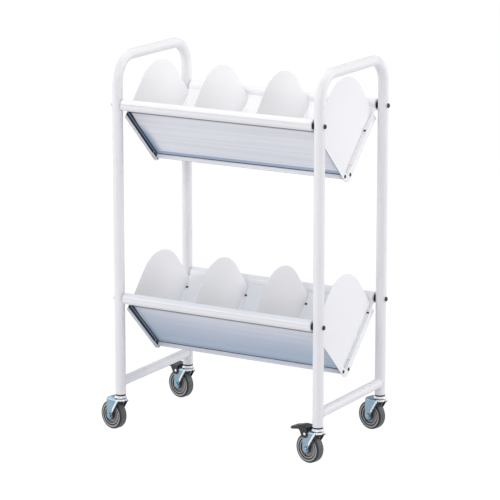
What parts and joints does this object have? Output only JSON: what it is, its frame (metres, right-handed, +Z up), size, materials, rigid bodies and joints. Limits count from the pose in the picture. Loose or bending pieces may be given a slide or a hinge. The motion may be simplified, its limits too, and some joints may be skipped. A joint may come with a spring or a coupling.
{
  "type": "medical chart rack",
  "caption": "Mobile two-tier chart rack: bent-tube side frames on braked swivel casters carry V-shaped sheet-metal troughs with round-topped divider plates.",
  "frame": {"origin": "on the floor, midway between the four leg axes", "axes": "+Z up, -Y towards the front from which the rack is loaded, +X along the troughs to the right as seen from the front"},
  "size_m": [0.6755, 0.3895, 0.9857],
  "materials": {
    "powder_coat": "satin white powder coat",
    "black_plastic": "matte black",
    "black_steel": "satin black",
    "zinc": "bright zinc plate",
    "wheel_core": "satin grey",
    "tyre": "matte dark grey"
  },
  "bodies": {
    "frame": {"side_frame_left": "powder_coat", "cross_tube_left": "powder_coat", "side_frame_right": "powder_coat", "cross_tube_right": "powder_coat", "lower_rail_front": "powder_coat", "lower_plug_front_left": "black_plastic", "lower_bolt_front_left": "black_steel", "lower_plug_front_right": "black_plastic", "lower_bolt_front_right": "black_steel", "lower_trough_front_wall": "powder_coat", "lower_rail_back": "powder_coat", "lower_plug_back_left": "black_plastic", "lower_bolt_back_left": "black_steel", "lower_plug_back_right": "black_plastic", "lower_bolt_back_right": "black_steel", "lower_trough_back_wall": "powder_coat", "lower_divider_1": "powder_coat", "lower_divider_2": "powder_coat", "lower_divider_3": "powder_coat", "lower_divider_4": "powder_coat", "upper_rail_front": "powder_coat", "upper_plug_front_left": "black_plastic", "upper_bolt_front_left": "black_steel", "upper_plug_front_right": "black_plastic", "upper_bolt_front_right": "black_steel", "upper_trough_front_wall": "powder_coat", "upper_rail_back": "powder_coat", "upper_plug_back_left": "black_plastic", "upper_bolt_back_left": "black_steel", "upper_plug_back_right": "black_plastic", "upper_bolt_back_right": "black_steel", "upper_trough_back_wall": "powder_coat", "upper_divider_1": "powder_coat", "upper_divider_2": "powder_coat", "upper_divider_3": "powder_coat", "upper_divider_4": "powder_coat", "caster_stem_front_left": "zinc", "caster_stem_front_right": "zinc", "caster_stem_back_left": "zinc", "caster_stem_back_right": "zinc"},
    "swivel_front_left": {"caster_fork_front_left": "zinc", "caster_axle_front_left": "zinc"},
    "wheel_front_left": {"wheel_core_front_left": "wheel_core", "tyre_front_left": "tyre"},
    "swivel_front_right": {"caster_fork_front_right": "zinc", "caster_axle_front_right": "zinc"},
    "wheel_front_right": {"wheel_core_front_right": "wheel_core", "tyre_front_right": "tyre"},
    "pedal_front_right": {"brake_pedal_front_right": "black_steel", "brake_pad_front_right": "tyre"},
    "swivel_back_left": {"caster_fork_back_left": "zinc", "caster_axle_back_left": "zinc"},
    "wheel_back_left": {"wheel_core_back_left": "wheel_core", "tyre_back_left": "tyre"},
    "pedal_back_left": {"brake_pedal_back_left": "black_steel", "brake_pad_back_left": "tyre"},
    "swivel_back_right": {"caster_fork_back_right": "zinc", "caster_axle_back_right": "zinc"},
    "wheel_back_right": {"wheel_core_back_right": "wheel_core", "tyre_back_right": "tyre"}
  },
  "joints": [
    {"name": "swivel_front_left", "type": "hinge", "parent": "frame", "child": "swivel_front_left", "pos_m": [-0.2892, -0.1656, 0.084], "axis": [0, 0, 1], "continuous": true},
    {"name": "roll_front_left", "type": "hinge", "parent": "swivel_front_left", "child": "wheel_front_left", "pos_m": [-0.3145, -0.15962, 0.0375], "axis": [-0.23, -0.9732, 0], "continuous": true},
    {"name": "swivel_front_right", "type": "hinge", "parent": "frame", "child": "swivel_front_right", "pos_m": [0.2892, -0.1656, 0.084], "axis": [0, 0, 1], "continuous": true},
    {"name": "roll_front_right", "type": "hinge", "parent": "swivel_front_right", "child": "wheel_front_right", "pos_m": [0.2639, -0.15962, 0.0375], "axis": [-0.23, -0.9732, 0], "continuous": true},
    {"name": "brake_front_right", "type": "hinge", "parent": "swivel_front_right", "child": "pedal_front_right", "pos_m": [0.2639, -0.15962, 0.077], "axis": [-0.23, -0.9732, 0], "range_deg": [0, 10]},
    {"name": "swivel_back_left", "type": "hinge", "parent": "frame", "child": "swivel_back_left", "pos_m": [-0.2892, 0.1656, 0.084], "axis": [0, 0, 1], "continuous": true},
    {"name": "roll_back_left", "type": "hinge", "parent": "swivel_back_left", "child": "wheel_back_left", "pos_m": [-0.3145, 0.17158, 0.0375], "axis": [-0.23, -0.9732, 0], "continuous": true},
    {"name": "brake_back_left", "type": "hinge", "parent": "swivel_back_left", "child": "pedal_back_left", "pos_m": [-0.3145, 0.17158, 0.077], "axis": [-0.23, -0.9732, 0], "range_deg": [0, 10]},
    {"name": "swivel_back_right", "type": "hinge", "parent": "frame", "child": "swivel_back_right", "pos_m": [0.2892, 0.1656, 0.084], "axis": [0, 0, 1], "continuous": true},
    {"name": "roll_back_right", "type": "hinge", "parent": "swivel_back_right", "child": "wheel_back_right", "pos_m": [0.2639, 0.17158, 0.0375], "axis": [-0.23, -0.9732, 0], "continuous": true}
  ]
}
